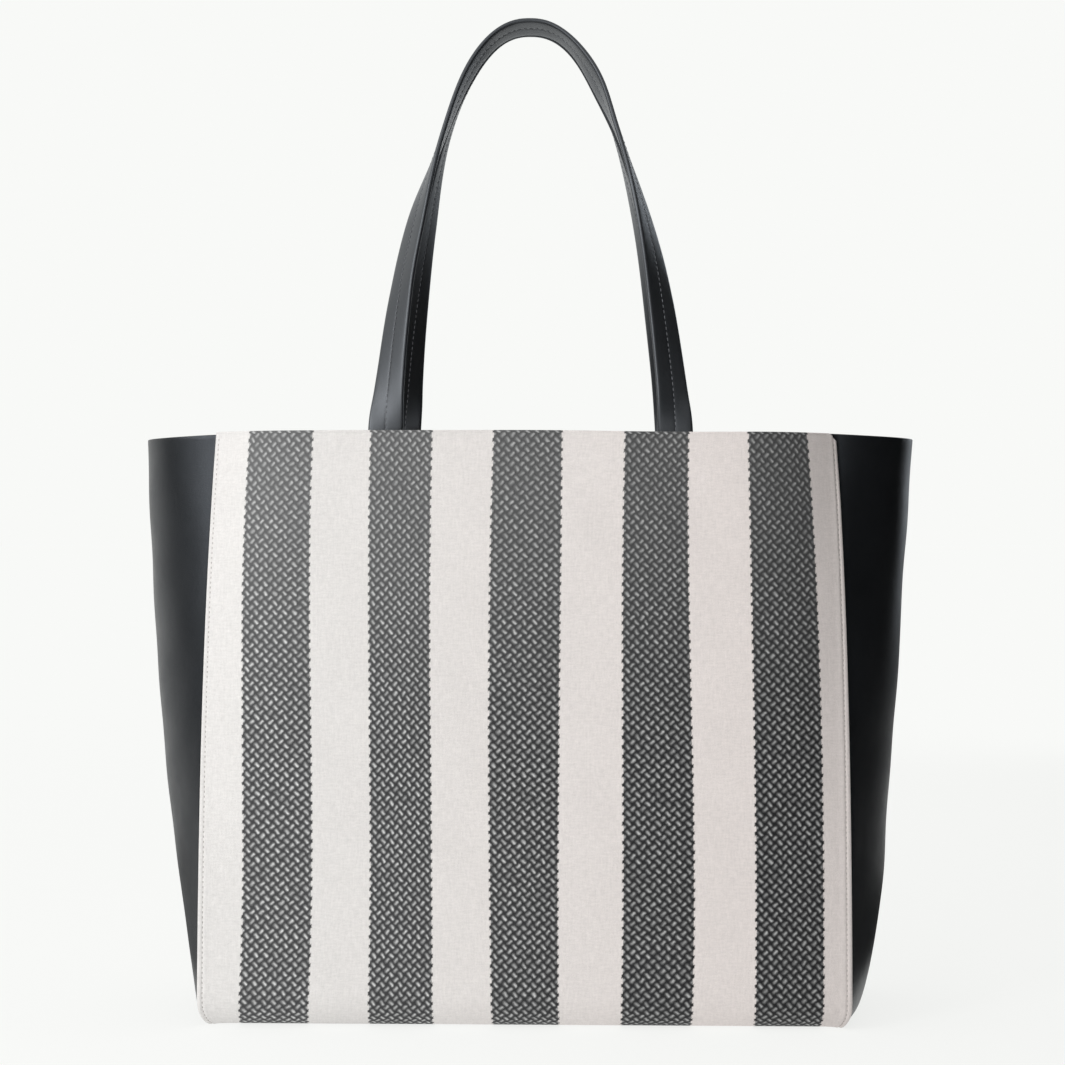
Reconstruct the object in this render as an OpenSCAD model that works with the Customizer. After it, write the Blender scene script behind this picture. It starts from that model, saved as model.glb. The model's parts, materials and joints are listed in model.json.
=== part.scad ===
// Striped canvas tote bag with leather gussets and two twisted leather handles.
// Units are millimetres. +Z is up, +Y is the back, and the origin is the middle of the base on the floor.

/* [Body] */
// Height of the body from the floor to the rim
body_h = 345; // [310:5:380]
// Width of the body at its base
base_w = 378; // [350:1:400]
// Depth of the base from front to back
base_d = 160; // [150:2:180]
// Radius of the roll where the canvas turns under the base
roll_r = 20; // [16:1:24]
// How much each side seam draws in at the rim
rim_draw = 7.3; // [6:0.1:10]
// How far each side seam sits behind the front face at the rim
rim_corner_back = 26; // [20:1:28]
// Width of the curved strip beside each side seam
corner_run = 55; // [45:1:65]
// How far the front leans in from the base to the rim
rim_lean = 2; // [0:0.5:4]
// How far each gusset swells out at the rim
gusset_bulge = 50; // [40:1:54]
// How far the middle of a gusset's rim dips
gusset_dip = 2; // [0:0.5:4]

/* [Materials] */
// Thickness of the canvas with its backing
canvas_t = 1.4; // [1:0.1:1.6]
// Thickness of the gusset and base leather
leather_t = 1.4; // [1:0.1:1.6]
// Thickness of the leather facing inside the rim
facing_t = 1.2; // [0.8:0.1:1.2]
// Thickness of the lining cloth
lining_t = 0.6; // [0.4:0.1:0.8]
// Thickness of the stiffening board in the base
board_t = 2.4; // [1.5:0.1:3]
// Gap left between neighbouring layers
layer_gap = 0.3; // [0.2:0.05:0.4]

/* [Base] */
// Width of the leather base panel from front to back
base_panel_d = 100; // [80:2:110]

/* [Rim] */
// Depth of the leather facing below the rim
facing_h = 72; // [68:1:80]

/* [Handles] */
// Distance between the two legs of one handle at the rim, centre to centre
handle_spacing = 168; // [150:2:180]
// Height of a handle above the rim, measured in its own plane
handle_h = 255; // [230:1:280]
// Width of the strap
strap_w = 20; // [16:1:22]
// Thickness of the strap
strap_t = 3.5; // [3:0.1:4]
// Angle at which a handle leans in over the mouth
handle_lean = 14.1; // [13.5:0.1:14.2]
// Length of the strap end sewn inside the rim
tab_h = 52; // [40:1:60]

/* [Pocket] */
// Width of the slip pocket on the back lining
pocket_w = 180; // [120:5:200]
// Height of the slip pocket
pocket_h = 130; // [100:5:150]

/* [Hidden] */

seam_power = 3;          // how the seam's draw grows with height
corner_power = 1.35;     // how the seam's set-back grows with height
sample = 0.001;          // step for the slopes of a surface
wall_rows = 14;          // rows of facets up a wall
roll_rows = 5;           // rows of facets round the roll
panel_columns = 24;      // columns of facets across a canvas panel
gusset_columns = 18;     // columns of facets across a gusset

wall_len = body_h - roll_r;              // flat run of the canvas above the roll
roll_len = roll_r * PI / 2;              // run of the canvas round the roll
flange_len = base_d / 2 - roll_r - base_panel_d / 2 - layer_gap;   // run of the canvas under the base
lining_top = facing_h - 6;               // the facing laps the lining by 6
lining_gap = layer_gap + lining_t;       // lining cloth with the gap outside it
seam_lap = 8;                            // the gusset runs this far in behind the canvas
corner_clear = seam_lap + 1.5;           // inner layers stop this far short of a side seam
floor_top = canvas_t + layer_gap + board_t;      // top of the stiffening board

rim_t = canvas_t + layer_gap + facing_t;         // whole thickness of the rim
fold_y = base_d / 2 - rim_lean - rim_t / 2;      // distance of a handle's fold line from the middle
strap_off = rim_t / 2 + layer_gap + strap_t / 2; // distance of the strap's middle from the fold line
arch_power = 2.3;        // roundness of the handle's arch at the top
leg_power = 1.33;        // how fast the legs close towards the top
twist_power = 2.2;       // how fast the strap turns edge-on above the rim
strap_rings = 56;        // rings of facets along a strap
leg_start = 2;           // the loose strap starts this far above the fold line
core_w = strap_w - 4;    // width of the tape inside the strap
core_t = 0.8;            // thickness of the tape inside the strap
core_gap = 0.2;          // play between tape and leather
strap_skin = strap_t / 2 - core_t / 2 - core_gap;   // thickness of each leather layer of the strap

// ---- shape of the body ----

function level(z) = max(z, 0) / body_h;
function seam_x(z) = base_w / 2 - rim_draw * pow(level(z), seam_power);
function wall_y(z) = base_d / 2 - rim_lean * level(z);
function corner_back(z) = rim_corner_back * pow(level(z), corner_power);

// Share of the corner's set-back that applies at distance x from the middle.
function bend(x, z) = pow(max(0, abs(x) - seam_x(z) + corner_run) / corner_run, 2);

// Height and inset of the front panel at a run p down from the rim.
function run_z(p) =
    p <= wall_len ? body_h - p :
    p <= wall_len + roll_len ? roll_r * (1 - sin((p - wall_len) / roll_r * 180 / PI)) : 0;
function run_inset(p) =
    p <= wall_len ? 0 :
    p <= wall_len + roll_len ? roll_r * (1 - cos((p - wall_len) / roll_r * 180 / PI)) :
    roll_r + p - wall_len - roll_len;

// Outer surface of the front panel: u is -1 to 1 across, p is the run down from the rim.
function panel_point(u, p) =
    let (z = run_z(p), x = u * seam_x(z))
    [x, -(wall_y(z) - run_inset(p) - corner_back(z) * bend(x, z)), z];

function unit(v) = v / norm(v);
function panel_normal(u, p) = unit(cross(
    panel_point(u, p - sample) - panel_point(u, p + sample),
    panel_point(u - sample, p) - panel_point(u + sample, p)));

// The same surface moved in by d.
function panel_layer(u, p, d) = panel_point(u, p) - d * panel_normal(u, p);

// The gusset starts on the inner face of the canvas, at its side edge.
function gusset_edge(p) = panel_layer(1, p, canvas_t + layer_gap);
function gusset_rise(z) =
    let (low = canvas_t + layer_gap)
    sqrt(max(0.0001, (z - low) / (body_h - low)));

// Outer surface of the right gusset: w is -1 to 1 from front to back.
function gusset_point(w, p) =
    let (
        edge = gusset_edge(p),
        half = abs(edge[1]),
        swell = gusset_bulge * gusset_rise(edge[2]) + seam_x(edge[2]) - edge[0],
        radius = (half * half + swell * swell) / (2 * swell),
        turn = 2 * atan(swell / half) * w,
        dip = gusset_dip * (1 - w * w) * pow(level(edge[2]), 4)
    )
    [edge[0] + swell - radius + radius * cos(turn), radius * sin(turn), edge[2] - dip];

function gusset_normal(w, p) = unit(cross(
    gusset_point(w + sample, p) - gusset_point(w - sample, p),
    gusset_point(w, p - sample) - gusset_point(w, p + sample)));

// The same surface moved in by d. Beyond w = 1 the leather lies flat behind the canvas, and at w = 1 it is mitred.
function mirror_y(v, w) = [v[0], w < 0 ? v[1] : -v[1], v[2]];
function gusset_layer(w, p, d) =
    abs(w) > 1 + sample ?
        mirror_y(panel_layer(1 - (abs(w) - 1) * seam_lap / (base_w / 2), p, canvas_t + layer_gap + d), w) :
    abs(w) > 1 - sample ?
        let (lap_n = mirror_y(panel_normal(1, p), w), swell_n = gusset_normal(w, p))
        gusset_point(w, p) - d * (lap_n + swell_n) / (1 + lap_n * swell_n) :
    gusset_point(w, p) - d * gusset_normal(w, p);

// ---- closed sheets from a grid of points ----

function between(a, b, n) = [for (i = [0:n]) a + (b - a) * i / n];

// Runs down a panel, denser round the roll, from p0 to p1.
function runs(p0, p1) =
    let (
        wall_end = min(p1, wall_len),
        wall = between(p0, wall_end, max(1, round(wall_rows * (wall_end - p0) / wall_len))),
        roll_end = min(p1, wall_len + roll_len),
        roll = roll_end > wall_len ? between(wall_len, roll_end, roll_rows) : [],
        flange = p1 > roll_end + sample ? [p1] : []
    )
    concat(wall, [for (i = [1:1:len(roll) - 1]) roll[i]], flange);

// Places across a sheet that reaches to edge, on the same columns as the full sheet's, so that layers stay parallel.
function across_to(edge, columns, spread) = concat(
    [-edge],
    [for (t = between(-1, 1, columns))
        let (u = t * (1 - spread) + sin(90 * t) * spread)
        if (abs(u) < edge - 0.01) u],
    [edge]);

// Joins an outer and an inner grid of the same size into one closed solid.
module sheet_solid(outer, inner) {
    rows = len(outer);
    cols = len(outer[0]);
    count = rows * cols;
    points = concat([for (r = outer, q = r) q], [for (r = inner, q = r) q]);
    rim = concat(
        [for (c = [0:cols - 1]) c],
        [for (r = [1:rows - 1]) r * cols + cols - 1],
        [for (c = [cols - 2:-1:0]) (rows - 1) * cols + c],
        [for (r = [rows - 2:-1:1]) r * cols]);
    outer_faces = [for (r = [0:rows - 2], c = [0:cols - 2]) let (a = r * cols + c)
        each [[a, a + 1, a + cols + 1], [a, a + cols + 1, a + cols]]];
    inner_faces = [for (r = [0:rows - 2], c = [0:cols - 2]) let (a = count + r * cols + c)
        each [[a, a + cols + 1, a + 1], [a, a + cols, a + cols + 1]]];
    rim_faces = [for (i = [0:len(rim) - 1]) let (a = rim[i], b = rim[(i + 1) % len(rim)])
        each [[b, a, a + count], [b, a + count, b + count]]];
    polyhedron(points, concat(outer_faces, inner_faces, rim_faces));
}

// A layer of the front panel from run p0 to p1 and depth d0 to d1, stopping short of both seams.
module panel_sheet(p0, p1, d0, d1, short = 0, columns = panel_columns) {
    across = across_to(1 - short * 2 / base_w, columns, 0.5);
    down = runs(p0, p1);
    sheet_solid(
        [for (p = down) [for (u = across) panel_layer(u, p, d0)]],
        [for (p = down) [for (u = across) panel_layer(u, p, d1)]]);
}

// A layer of the right gusset, in the same way. With laps it also runs in behind both canvas edges.
module gusset_sheet(p0, p1, d0, d1, short = 0, columns = gusset_columns, laps = false) {
    arc = across_to(1 - short * 2 / base_d, columns, 0);
    across = laps ? concat([-2, -1.5], arc, [1.5, 2]) : arc;
    down = runs(p0, p1);
    sheet_solid(
        [for (p = down) [for (w = across) gusset_layer(w, p, d0)]],
        [for (p = down) [for (w = across) gusset_layer(w, p, d1)]]);
}

// ---- handles ----

// The arch of a handle in its own plane: a is 0 at the left leg, 90 at the top, 180 at the right leg.
function arch_point(a) = [
    -handle_spacing / 2 * sign(cos(a)) * pow(abs(cos(a)), 2 / arch_power),
    handle_h * pow(abs(sin(a)), 2 / leg_power)];
function arch_tangent(a) = unit(arch_point(a + 0.5) - arch_point(a - 0.5));
arch_start = asin(pow(leg_start / handle_h, leg_power / 2));

// Places [across, up the plane, out of the plane] of the front handle in the body's frame.
function in_body(v) = [
    v[0],
    -fold_y + v[1] * sin(handle_lean) - v[2] * cos(handle_lean),
    body_h + v[1] * cos(handle_lean) + v[2] * sin(handle_lean)];

// Section of one layer of the strap, half_w wide each way, from depth low to high, with eased corners.
function layer_section(half_w, low, high, ease) = [
    [half_w, low + ease], [half_w, high - ease], [half_w - ease, high], [0, high],
    [-half_w + ease, high], [-half_w, high - ease], [-half_w, low + ease],
    [-half_w + ease, low], [0, low], [half_w - ease, low]];

// One ring of the strap: flat to the panel at the legs, turned edge-on at the top of the arch.
function strap_ring(a, section) =
    let (
        c = arch_point(a),
        t = arch_tangent(a),
        out = [-t[1], t[0]],
        turn = 90 * (1 - pow(max(0, 1 - c[1] / handle_h), twist_power)),
        wide = [out[0] * cos(turn), out[1] * cos(turn), -sin(turn)],
        flat = [out[0] * sin(turn), out[1] * sin(turn), cos(turn)]
    )
    [for (s = section) in_body([c[0], c[1], -strap_off] + s[0] * wide + s[1] * flat)];

// Sweeps a layer along the arch. The two broad faces are split along the same diagonals.
module swept_layer(half_w, low, high) {
    section = layer_section(half_w, low, high, 0.2);
    rings = [for (a = between(arch_start, 180 - arch_start, strap_rings)) strap_ring(a, section)];
    n = len(section);
    points = [for (r = rings, q = r) q];
    sides = [for (r = [0:strap_rings - 1], i = [0:n - 1])
        let (a = r * n + i, b = r * n + (i + 1) % n)
        each (i < n / 2
            ? [[a, b, b + n], [a, b + n, a + n]]
            : [[a, b, a + n], [b, b + n, a + n]])];
    ends = [for (i = [1:n - 2]) each [
        [0, i + 1, i],
        [strap_rings * n, strap_rings * n + i, strap_rings * n + i + 1]]];
    polyhedron(points, concat(sides, ends));
}

module strap_outer() swept_layer(strap_w / 2, core_t / 2 + core_gap, strap_t / 2);
module strap_core() swept_layer(core_w / 2, -core_t / 2, core_t / 2);
module strap_inner() swept_layer(strap_w / 2, -strap_t / 2, -core_t / 2 - core_gap);
// The end of a strap, sewn flat against the facing; side is -1 for left and 1 for right.
module tab(side) {
    face = base_d / 2 - rim_lean - rim_t - layer_gap;
    translate([side * handle_spacing / 2, -face + strap_t, body_h - 1.5])
        rotate([90, 0, 0])
            linear_extrude(strap_t) {
                translate([-strap_w / 2, -tab_h]) square([strap_w, tab_h]);
                translate([0, -tab_h]) circle(d = strap_w, $fn = 48);
            }
}

// ---- sub-parts ----

module to_back() mirror([0, 1, 0]) children();
module to_left() mirror([-1, 0, 0]) children();

module front_canvas() color("ivory") panel_sheet(0, wall_len + roll_len + flange_len, 0, canvas_t);
module back_canvas() to_back() front_canvas();

module base_panel()
    color([0.08, 0.08, 0.09])
        translate([-base_w / 2 + 0.5, -base_panel_d / 2, 0])
            cube([base_w - 1, base_panel_d, leather_t]);

module right_gusset()
    color([0.08, 0.08, 0.09])
        gusset_sheet(0, wall_len + roll_len, 0, leather_t, laps = true);
module left_gusset() to_left() right_gusset();

module base_board()
    color("tan")
        translate([-base_w / 2 + corner_clear, -base_d / 2 + roll_r, canvas_t + layer_gap])
            cube([base_w - 2 * corner_clear, base_d - 2 * roll_r, board_t]);

module front_facing()
    color([0.08, 0.08, 0.09])
        panel_sheet(0, facing_h, canvas_t + layer_gap, rim_t, corner_clear);
module back_facing() to_back() front_facing();

module right_rim_facing()
    color([0.08, 0.08, 0.09])
        gusset_sheet(0, facing_h, canvas_t + layer_gap, rim_t, corner_clear);
module left_rim_facing() to_left() right_rim_facing();

lining_d = rim_t + layer_gap;            // the lining hangs inside the facing's lower edge
module lining_front()
    color([0.72, 0.69, 0.62])
        panel_sheet(lining_top, wall_len + roll_len / 3, lining_d, lining_d + lining_t, corner_clear + 2);
module lining_back() to_back() lining_front();

module lining_right()
    color([0.72, 0.69, 0.62])
        gusset_sheet(lining_top, wall_len + roll_len / 3, lining_d, lining_d + lining_t, corner_clear + 2);
module lining_left() to_left() lining_right();

module lining_base()
    color([0.72, 0.69, 0.62])
        translate([-base_w / 2 + corner_clear + 2, -base_d / 2 + roll_r, floor_top + layer_gap])
            cube([base_w - 2 * corner_clear - 4, base_d - 2 * roll_r, lining_t]);

module inner_pocket() {
    low = body_h - facing_h - pocket_h - 20;
    color([0.72, 0.69, 0.62])
        translate([-pocket_w / 2, base_d / 2 - rim_lean - lining_d - 2 * lining_t - 2, low])
            cube([pocket_w, lining_t * 2, pocket_h]);
}

module front_left_tab() color([0.08, 0.08, 0.09]) tab(-1);
module front_right_tab() color([0.08, 0.08, 0.09]) tab(1);
module back_left_tab() to_back() front_left_tab();
module back_right_tab() to_back() front_right_tab();

module front_strap_outer() color([0.08, 0.08, 0.09]) strap_outer();
module front_strap_core() color("white") strap_core();
module front_strap_inner() color([0.08, 0.08, 0.09]) strap_inner();
module back_strap_outer() to_back() front_strap_outer();
module back_strap_core() to_back() front_strap_core();
module back_strap_inner() to_back() front_strap_inner();

front_canvas();
back_canvas();
base_panel();
left_gusset();
right_gusset();
base_board();
front_facing();
back_facing();
left_rim_facing();
right_rim_facing();
lining_front();
lining_back();
lining_left();
lining_right();
lining_base();
inner_pocket();
front_left_tab();
front_right_tab();
back_left_tab();
back_right_tab();
front_strap_outer();
front_strap_core();
front_strap_inner();
back_strap_outer();
back_strap_core();
back_strap_inner();
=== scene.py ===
"""Striped canvas tote with leather gussets and twisted leather handles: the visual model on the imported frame."""
import json
from math import cos, pi, radians, sin, sqrt

import bpy
import numpy as np
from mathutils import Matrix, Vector


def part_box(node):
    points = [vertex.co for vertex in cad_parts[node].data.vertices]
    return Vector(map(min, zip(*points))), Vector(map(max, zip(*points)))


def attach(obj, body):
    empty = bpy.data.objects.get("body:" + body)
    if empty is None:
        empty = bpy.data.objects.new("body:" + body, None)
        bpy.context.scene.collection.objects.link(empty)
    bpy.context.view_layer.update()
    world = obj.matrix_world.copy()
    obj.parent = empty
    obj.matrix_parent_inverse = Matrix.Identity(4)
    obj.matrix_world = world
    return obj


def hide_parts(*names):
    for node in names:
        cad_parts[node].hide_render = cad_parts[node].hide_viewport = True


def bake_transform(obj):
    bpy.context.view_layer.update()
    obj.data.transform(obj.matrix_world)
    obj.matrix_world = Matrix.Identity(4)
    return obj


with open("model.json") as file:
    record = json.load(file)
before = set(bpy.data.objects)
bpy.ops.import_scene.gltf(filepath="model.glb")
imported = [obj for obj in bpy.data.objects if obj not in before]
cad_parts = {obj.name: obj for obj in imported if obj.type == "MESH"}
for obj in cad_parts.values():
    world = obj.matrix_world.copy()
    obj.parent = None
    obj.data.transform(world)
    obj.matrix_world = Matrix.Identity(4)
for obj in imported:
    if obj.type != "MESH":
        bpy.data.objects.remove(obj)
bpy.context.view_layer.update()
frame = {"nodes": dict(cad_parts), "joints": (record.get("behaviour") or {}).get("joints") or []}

# -------- sizes, in metres
canvas_lo, canvas_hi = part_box("front_canvas")
RIM = canvas_hi[2]  # height of the rim
HALF_W = canvas_hi[0]  # half the width of the base
HALF_D = -canvas_lo[1]  # half the depth of the base
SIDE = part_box("right_gusset")[1][0]  # outermost point of a gusset
ROLL = 0.020  # radius of the roll at the foot of the canvas
RIM_DRAW = 0.0073  # how much a side seam draws in at the rim
CORNER_BACK = 0.026  # how far a side seam sits behind the front face at the rim
CORNER_RUN = 0.055  # width of the curved strip beside a seam
CORNER_ROUND = 0.013  # height of the rounded corners at the canvas foot
CORNER_DRAW = 0.0045  # how far those corners draw in
LEAN = 0.002  # how far the front's rim sits behind its foot
BULGE = SIDE - HALF_W + RIM_DRAW  # swell of a gusset at the rim
DIP = 0.002  # how far the middle of a gusset's rim dips
CANVAS_T = 0.0010
LEATHER_T = 0.0013
FACING_T = 0.0011
LINING_T = 0.0005
FACING_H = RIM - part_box("front_facing")[0][2]

WALL = RIM - ROLL  # run of the canvas from the rim to the roll
ROUND = ROLL * pi / 2  # run round the roll
BASE_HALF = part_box("base_panel")[1][1]
FLANGE = HALF_D - ROLL - BASE_HALF  # run of the canvas under the base

SPACING = 0.168  # between the two ends of a handle
STRAP_HALF = 0.010  # half the strap's width
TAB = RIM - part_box("front_left_tab")[0][2]

fold = {j["name"]: j for j in frame["joints"]}
FOLD_Y = -fold["front_handle_fold"]["pos_m"][1]
FOLD_Z = fold["front_handle_fold"]["pos_m"][2]


# -------- camera and studio
def look_along(obj, direction):
    """Points a camera or light along a direction."""
    obj.rotation_mode = "QUATERNION"
    obj.rotation_quaternion = Vector(direction).to_track_quat("-Z", "Y")


YAW = radians(2.0)  # the bag is seen from slightly to one side
CAMERA_DISTANCE = 1.620
CAMERA_HEIGHT = 0.287
CAMERA_SIDE = 0.0053
view_dir = (-sin(YAW), cos(YAW), 0.0)
cam_data = bpy.data.cameras.new("camera")
cam_data.lens = 95.0
cam_data.sensor_width = 36.0
camera = bpy.data.objects.new("camera", cam_data)
camera.location = (CAMERA_SIDE - view_dir[0] * CAMERA_DISTANCE,
                   -HALF_D - view_dir[1] * CAMERA_DISTANCE, CAMERA_HEIGHT)
look_along(camera, view_dir)
bpy.context.scene.collection.objects.link(camera)
bpy.context.scene.camera = camera
bpy.context.scene.view_settings.view_transform = "Standard"


# -------- node helpers
class Graph:
    """A small builder for a material's nodes."""

    def __init__(self, name):
        self.mat = bpy.data.materials.new(name)
        self.mat.use_nodes = True
        self.tree = self.mat.node_tree
        self.shader = self.tree.nodes["Principled BSDF"]

    def new(self, kind, **settings):
        node = self.tree.nodes.new(kind)
        for key, value in settings.items():
            setattr(node, key, value)
        return node

    def join(self, value, socket):
        if isinstance(value, bpy.types.NodeSocket):
            self.tree.links.new(value, socket)
        else:
            socket.default_value = value

    def fed(self, values, kind, **settings):
        """The output of a new node whose first inputs take the values."""
        node = self.new(kind, **settings)
        for i, v in enumerate(values):
            self.join(v, node.inputs[i])
        return node.outputs[0]

    def math(self, op, a, b=0.0, c=0.0):
        return self.fed((a, b, c), "ShaderNodeMath", operation=op)

    def add(self, a, b):
        return self.math("ADD", a, b)

    def sub(self, a, b):
        return self.math("SUBTRACT", a, b)

    def mul(self, a, b):
        return self.math("MULTIPLY", a, b)

    def madd(self, a, b, c):
        """a times b, plus c."""
        return self.math("MULTIPLY_ADD", a, b, c)

    def step(self, value, low, high, out_low=0.0, out_high=1.0):
        values = (value, low, high, out_low, out_high)
        return self.fed(values, "ShaderNodeMapRange", interpolation_type="SMOOTHSTEP")

    def vector(self, x, y, z=0.0):
        return self.fed((x, y, z), "ShaderNodeCombineXYZ")

    def place(self):
        """Where a point is on its object, in metres."""
        return self.new("ShaderNodeTexCoord").outputs["Object"]

    def noise(self, vector, scale, detail=2.0, rough=0.5):
        node = self.new("ShaderNodeTexNoise")
        for key, value in (("Vector", vector), ("Scale", scale), ("Detail", detail), ("Roughness", rough)):
            self.join(value, node.inputs[key])
        return node.outputs["Fac"]

    def mix(self, fac, a, b):
        node = self.new("ShaderNodeMix", data_type="RGBA")
        self.join(fac, node.inputs["Factor"])
        self.join(a, node.inputs[6])
        self.join(b, node.inputs[7])
        return node.outputs[2]

    def tint(self, colour, factor):
        """Scales a colour by a number that varies over the surface."""
        node = self.new("ShaderNodeVectorMath", operation="SCALE")
        self.join(colour[:3] if isinstance(colour, tuple) else colour, node.inputs[0])
        self.join(factor, node.inputs["Scale"])
        return node.outputs[0]

    def cloth_mm(self):
        """The cloth's own coordinates in millimetres: across, down."""
        uv = self.new("ShaderNodeUVMap", uv_map="cloth")
        parts = self.new("ShaderNodeSeparateXYZ")
        self.tree.links.new(uv.outputs[0], parts.inputs[0])
        return (self.mul(parts.outputs[0], 1000.0),
                self.mul(parts.outputs[1], 1000.0))

    def bump(self, height, distance):
        node = self.new("ShaderNodeBump")
        self.join(height, node.inputs["Height"])
        node.inputs["Distance"].default_value = distance
        node.inputs["Strength"].default_value = 1.0
        return node.outputs[0]

    def finish(self, colour, rough, normal=None, **fixed):
        self.join(colour, self.shader.inputs["Base Color"])
        self.join(rough, self.shader.inputs["Roughness"])
        if normal is not None:
            self.tree.links.new(normal, self.shader.inputs["Normal"])
        for key, value in fixed.items():
            self.shader.inputs[key.replace("_", " ")].default_value = value
        return self.mat


def rgb(r, g, b):
    return (r, g, b, 1.0)


# -------- materials
# millimetres: from stripe to stripe, half a stripe, and one repeat of the stripe's weave
STRIPE_PITCH, STRIPE_HALF, CELL = 73.8, 19.6, 5.5


def dashes(g, x, y, tilt, shift, reach):
    """A dash in each cell of the stripe's weave: its lit core, brightening towards one end as a painted highlight,
    its whole cord, and a number of the cell's own.
    """
    cx = g.add(g.math("DIVIDE", x, CELL), shift)
    cy = g.add(g.math("DIVIDE", y, CELL), shift)
    ix, iy = g.math("ROUND", cx), g.math("ROUND", cy)
    fx, fy = g.sub(cx, ix), g.sub(cy, iy)
    ca, sa = cos(tilt), sin(tilt)
    along = g.add(g.mul(fx, ca), g.mul(fy, sa))
    over = g.sub(g.mul(fy, ca), g.mul(fx, sa))
    past = g.math("MAXIMUM", g.sub(g.math("ABSOLUTE", along), reach), 0.0)
    far = g.math("SQRT", g.add(g.math("POWER", past, 2.0), g.math("POWER", over, 2.0)))
    white = g.new("ShaderNodeTexWhiteNoise", noise_dimensions="2D")
    g.tree.links.new(g.vector(ix, iy), white.inputs["Vector"])
    # painted highlight: each dash's core brightens towards one end
    core = g.mul(g.step(far, 0.0, 0.20, 1.0, 0.0), g.step(along, -0.32, 0.24, 0.62, 1.12))
    return core, g.step(far, 0.17, 0.31, 1.0, 0.0), white.outputs["Value"]


def canvas_material(name):
    g = Graph(name)
    x, y = g.cloth_mm()
    here = g.vector(x, y)
    sway = g.mul(g.sub(g.noise(here, 0.22, 2.0), 0.5), 1.7)
    lift = g.mul(g.sub(g.noise(g.vector(y, x, 7.0), 0.22, 2.0), 0.5), 1.7)
    t = g.sub(x, g.mul(g.math("ROUND", g.math("DIVIDE", x, STRIPE_PITCH)), STRIPE_PITCH))
    edge_sway = g.madd(g.noise(g.vector(0.0, y), 0.5, 1.0), 0.9, -0.45)
    out = g.math("ABSOLUTE", g.add(t, edge_sway))
    in_stripe = g.step(out, STRIPE_HALF - 0.2, STRIPE_HALF + 0.6, 1.0, 0.0)
    across = g.step(x, -190.0, 190.0)

    wt, wy = g.add(t, sway), g.add(y, lift)
    down, down_cord, down_own = dashes(g, wt, wy, radians(52), 0.0, 0.155)
    up, up_cord, up_own = dashes(g, wt, wy, radians(-46), 0.5, 0.145)
    # cream dashes bite into the stripe's edges
    notch = g.mul(g.step(out, STRIPE_HALF - 0.9, STRIPE_HALF - 0.3), up_cord)
    in_stripe = g.mul(in_stripe, g.sub(1.0, notch))
    fuzz = g.noise(here, 2.6, 2.0, 0.7)
    down_light = g.mul(down, g.madd(down_own, 0.40, 0.62))
    up_light = g.mul(up, g.madd(up_own, 0.40, 0.50))
    light = g.math("MAXIMUM", down_light, up_light)
    light = g.mul(light, g.madd(fuzz, 0.9, 0.55))
    cord = g.math("MAXIMUM", down_cord, up_cord)
    mottle = g.noise(g.vector(g.mul(x, 0.5), y), 0.30, 3.0, 0.65)
    # painted shade: the near-black gaps between the cords, beside the raised dashes; the cords carry the stripe
    # yarn's grey
    ground = g.mix(cord, rgb(0.008, 0.0085, 0.010), rgb(0.082, 0.082, 0.084))
    ground = g.tint(ground, g.madd(fuzz, 1.4, 0.30))
    stripe = g.mix(light, ground, rgb(0.60, 0.60, 0.60))
    stripe = g.tint(stripe, g.madd(mottle, 0.9, 0.55))
    # painted light: the stripes are mixed paler towards the left, where the key light falls; they are also mixed
    # paler towards the rim
    paler_left_and_rim = g.add(g.madd(across, -0.15, 0.17), g.step(y, 0.0, 200.0, 0.32, 0.0))
    stripe = g.mix(paler_left_and_rim, stripe, rgb(0.205, 0.205, 0.207))
    # painted light and shade: the stripes are lighter at the left, where the key light falls, and darker towards
    # the right
    stripe = g.tint(stripe, g.madd(across, -0.62, 1.30))

    # plain weave of the cream, 0.62 mm from thread to thread, with slubs along both threads
    wx = g.math("SINE", g.mul(x, pi / 0.31))
    wv = g.math("SINE", g.mul(y, pi / 0.31))
    weave = g.mul(wx, wv)
    across_slub = g.noise(g.vector(g.mul(x, 0.22), g.mul(y, 0.80)), 1.0, 2.0, 0.6)
    down_slub = g.noise(g.vector(g.mul(x, 0.80), g.mul(y, 0.16), 3.0), 1.0, 2.0, 0.6)
    fleck = g.noise(here, 1.1, 2.0, 0.6)
    cloud = g.noise(here, 0.03, 3.0, 0.6)
    shade = g.madd(across_slub, 0.20, 0.66)
    shade = g.madd(down_slub, 0.20, shade)
    shade = g.madd(fleck, 0.16, shade)
    shade = g.madd(cloud, 0.06, shade)
    shade = g.madd(weave, 0.035, shade)
    # painted shade: the cream darkens towards the right, away from the key light; it also turns a little pinker
    # there
    cream_shaded_across = g.mix(across, rgb(0.800, 0.777, 0.765), rgb(0.775, 0.709, 0.690))
    # painted shade: the cream darkens further over its last strip before the right seam, where the cloth turns
    # away from the light
    plain = g.tint(cream_shaded_across, g.mul(shade, g.step(x, 152.0, 166.0, 1.0, 0.86)))

    colour = g.mix(in_stripe, plain, stripe)
    relief = g.mul(in_stripe, g.mul(cord, 0.30))
    relief = g.madd(weave, g.step(in_stripe, 0.0, 1.0, 0.045, 0.0), relief)
    relief = g.madd(fleck, 0.10, relief)
    relief = g.madd(across_slub, 0.08, relief)
    relief = g.madd(down_slub, 0.08, relief)
    return g.finish(colour, 0.88, g.bump(relief, 0.001), Sheen_Weight=0.12, Sheen_Roughness=0.5,
                    Specular_IOR_Level=0.25)


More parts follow.
